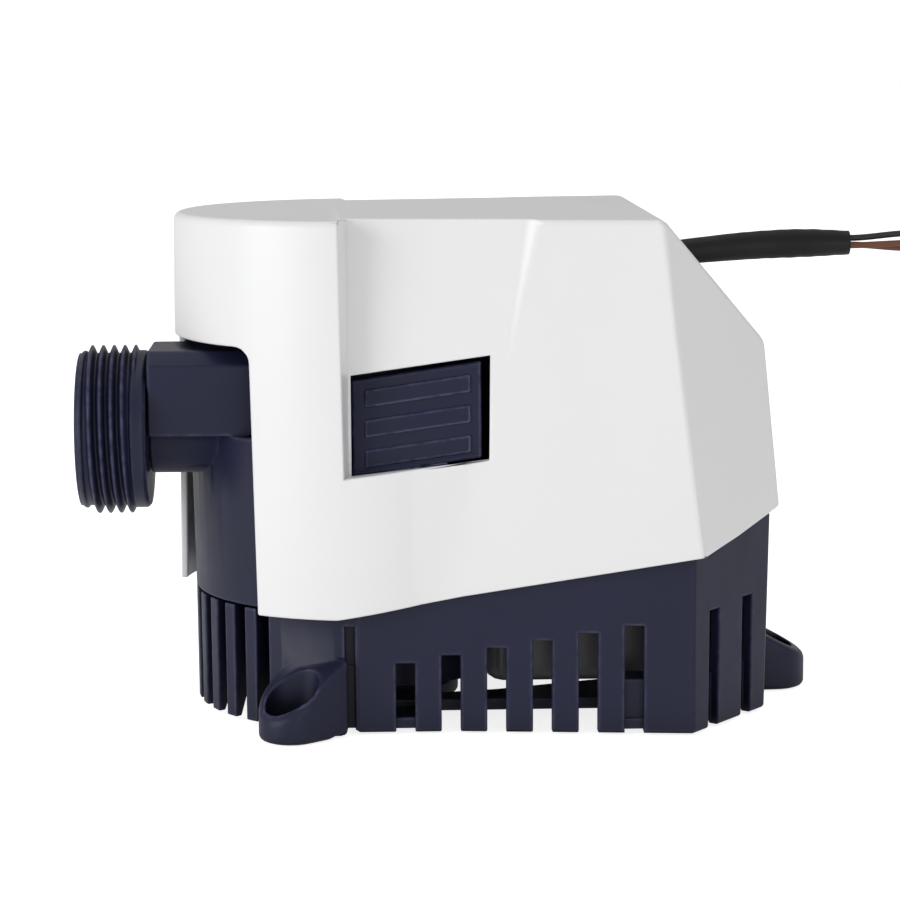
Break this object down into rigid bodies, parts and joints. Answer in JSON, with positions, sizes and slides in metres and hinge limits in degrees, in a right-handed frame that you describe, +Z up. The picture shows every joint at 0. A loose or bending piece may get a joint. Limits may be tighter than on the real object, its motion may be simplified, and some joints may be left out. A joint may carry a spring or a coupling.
{
  "type": "automatic bilge pump",
  "caption": "Submersible automatic bilge pump: slotted strainer base with screw ears, lift-off white cover, threaded side discharge, float switch and cable.",
  "frame": {"origin": "impeller axis at the mounting plane, on the base's centre pad", "axes": "+X along the pump towards the cable, +Z up away from the mounting surface, -Y the side of the discharge port's centre line"},
  "size_m": [0.1693, 0.0882, 0.1002],
  "materials": {
    "navy_plastic": "satin moulded",
    "white_abs": "gloss moulded",
    "black_plastic": "satin moulded",
    "float_plastic": "semi-gloss",
    "stainless": "satin",
    "plated_steel": "zinc plated",
    "laminated_steel": "dull",
    "copper": null,
    "bronze": "sintered bronze",
    "ferrite": "dull",
    "carbon": "graphite",
    "nylon": "satin",
    "rubber": "matt",
    "heat_shrink": "satin",
    "brown_pvc": "satin",
    "black_pvc": "satin",
    "glass": "clear"
  },
  "bodies": {
    "base": {"strainer_base": "navy_plastic", "pump_body": "navy_plastic", "threaded_port": "navy_plastic"},
    "cartridge": {"cover": "white_abs", "motor_housing": "black_plastic", "motor_cap": "black_plastic", "cap_screw_1": "stainless", "cap_screw_2": "stainless", "cap_screw_3": "stainless", "housing_o_ring": "rubber", "shaft_seal": "rubber", "lower_bushing": "bronze", "upper_bushing": "bronze", "motor_can": "plated_steel", "magnet_1": "ferrite", "magnet_2": "ferrite", "end_bell": "nylon", "brush_1": "carbon", "brush_2": "carbon", "brush_spring_1": "stainless", "brush_spring_2": "stainless", "switch_housing": "black_plastic", "switch_lid": "black_plastic", "reed_switch": "glass", "float_pin": "stainless", "cable_grommet": "rubber", "cable_sleeve": "heat_shrink", "wire_brown_1": "brown_pvc", "wire_brown_2": "brown_pvc", "wire_black": "black_pvc"},
    "rotor": {"impeller": "black_plastic", "motor_shaft": "stainless", "armature_core": "laminated_steel", "armature_winding": "copper", "commutator": "copper"},
    "float_arm": {"float": "float_plastic", "float_magnet": "ferrite"},
    "tab_near": {"release_tab_near": "navy_plastic"},
    "tab_far": {"release_tab_far": "navy_plastic"}
  },
  "joints": [
    {"name": "cartridge_lift", "type": "slide", "parent": "base", "child": "cartridge", "axis": [0, 0, 1], "range_m": [0, 0.085]},
    {"name": "rotor_spin", "type": "hinge", "parent": "cartridge", "child": "rotor", "pos_m": [0, 0, 0.012], "axis": [0, 0, 1], "continuous": true},
    {"name": "float_swing", "type": "hinge", "parent": "cartridge", "child": "float_arm", "pos_m": [0.068, 0, 0.024], "axis": [0, 1, 0], "range_deg": [0, 20]},
    {"name": "tab_near_press", "type": "hinge", "parent": "base", "child": "tab_near", "pos_m": [0.009, -0.0328, 0.028], "axis": [-1, 0, 0], "range_deg": [0, 3.2], "stiffness_Nm_per_rad": 0.5},
    {"name": "tab_far_press", "type": "hinge", "parent": "base", "child": "tab_far", "pos_m": [0.009, 0.0328, 0.028], "axis": [1, 0, 0], "range_deg": [0, 3.2], "stiffness_Nm_per_rad": 0.5}
  ]
}
